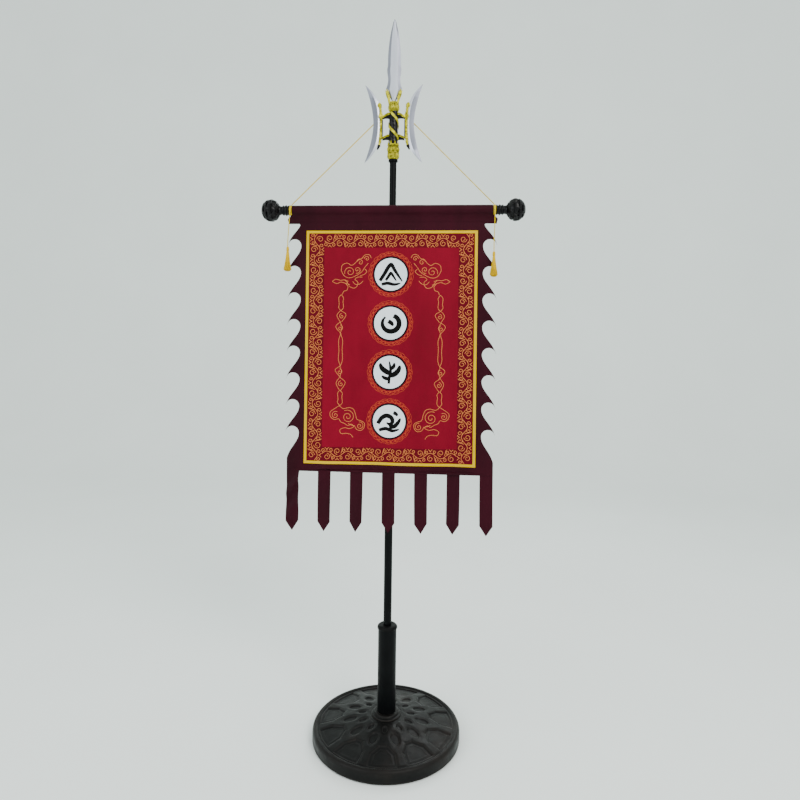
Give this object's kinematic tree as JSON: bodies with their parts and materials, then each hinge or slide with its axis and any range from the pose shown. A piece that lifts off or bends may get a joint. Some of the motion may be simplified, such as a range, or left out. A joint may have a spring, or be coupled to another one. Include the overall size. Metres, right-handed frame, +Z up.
{
  "type": "hanging banner stand",
  "caption": "Cloth banner with wave-cut sides and streamers, hung by a cord from a halberd-headed telescopic pole in a weighted round base.",
  "frame": {"origin": "on the floor at the centre of the round base, on the pole's axis", "axes": "+Z up along the pole, +X to the viewer's right along the cross bar, the banner's face looks along -Y"},
  "size_m": [0.7176, 0.4, 1.967],
  "materials": {
    "cast_black": "semi-gloss black with brown wear",
    "concrete": "rough grey concrete",
    "black_plastic": "satin black moulding",
    "foot_rubber": "matt black rubber",
    "zinc_steel": "zinc-plated",
    "pole_black": "smooth black paint",
    "nylon": "natural nylon",
    "gilt": "metallic gold paint on cast resin",
    "column_black": "gloss black lacquer",
    "blade_silver": "satin silver, bevelled",
    "bar_wood": "dark stained wood",
    "finial_black": "carved, gloss black lacquer",
    "cord_yellow": "pale yellow twisted cord",
    "maroon_cloth": "satin-faced maroon cloth",
    "red_cloth": "printed red satin",
    "piping_yellow": "yellow piping",
    "patch_white": "white patch with a black ring",
    "tassel_gold": "golden-yellow thread"
  },
  "bodies": {
    "base": {"base_shell": "cast_black", "ballast_core": "concrete", "base_cover": "black_plastic", "rubber_feet": "foot_rubber", "cover_screws": "zinc_steel", "hub_ring": "cast_black", "tube_foot_plate": "pole_black", "tube_bolts": "zinc_steel", "tube_nuts": "zinc_steel", "base_tube": "pole_black"},
    "pole_socket": {"tube_cap": "black_plastic", "pole_foot": "black_plastic"},
    "lower_pole_body": {"lower_pole": "pole_black", "clamp_collar": "pole_black", "collar_bush": "nylon"},
    "clamp": {"clamp_stud": "zinc_steel", "clamp_knob": "black_plastic"},
    "upper_pole_body": {"upper_pole": "pole_black", "pole_guide": "nylon", "pole_top_plug": "pole_black", "head_stud": "zinc_steel", "head_ferrule": "pole_black", "gold_collar": "gilt", "head_column": "column_black", "gold_spiral": "gilt", "upper_arms": "column_black", "lower_arms": "column_black", "bracket_left": "gilt", "bracket_right": "gilt", "crescent_left": "blade_silver", "crescent_right": "blade_silver", "spear_cup": "gilt", "spear_horns": "gilt", "spear_blade": "blade_silver"},
    "hanger": {"cross_bar": "bar_wood", "finial_left": "finial_black", "finial_right": "finial_black", "finial_studs": "zinc_steel", "cord_knots": "cord_yellow", "hanging_cord": "cord_yellow"},
    "banner": {"bar_sleeve": "maroon_cloth", "banner_ground": "maroon_cloth", "red_panel": "red_cloth", "gold_piping": "piping_yellow", "roundels": "patch_white", "streamers": "maroon_cloth"},
    "left_tassel": {"tassel_cord_left": "cord_yellow", "tassel_left": "tassel_gold"},
    "right_tassel": {"tassel_cord_right": "cord_yellow", "tassel_right": "tassel_gold"}
  },
  "joints": [
    {"name": "pole_lift", "type": "slide", "parent": "base", "child": "pole_socket", "axis": [0, 0, 1], "range_m": [0, 0.27]},
    {"name": "pole_turn", "type": "hinge", "parent": "pole_socket", "child": "lower_pole_body", "pos_m": [0, 0, 0.15], "axis": [0, 0, 1], "continuous": true},
    {"name": "clamp_turn", "type": "hinge", "parent": "lower_pole_body", "child": "clamp", "pos_m": [0, 0.02, 0.938], "axis": [0, 1, 0], "range_deg": [0, 180]},
    {"name": "pole_telescope", "type": "slide", "parent": "lower_pole_body", "child": "upper_pole_body", "axis": [0, 0, 1], "range_m": [-0.2, 0]},
    {"name": "hanger_swing", "type": "hinge", "parent": "upper_pole_body", "child": "hanger", "pos_m": [0, 0, 1.694], "axis": [-1, 0, 0], "range_deg": [0, 30]},
    {"name": "banner_swing", "type": "hinge", "parent": "hanger", "child": "banner", "pos_m": [0, -0.025, 1.434], "axis": [-1, 0, 0], "range_deg": [0, 35]},
    {"name": "left_tassel_swing", "type": "hinge", "parent": "banner", "child": "left_tassel", "pos_m": [-0.277, -0.025, 1.434], "axis": [-1, 0, 0], "range_deg": [0, 45]},
    {"name": "right_tassel_swing", "type": "hinge", "parent": "banner", "child": "right_tassel", "pos_m": [0.277, -0.025, 1.434], "axis": [-1, 0, 0], "range_deg": [0, 45]}
  ]
}
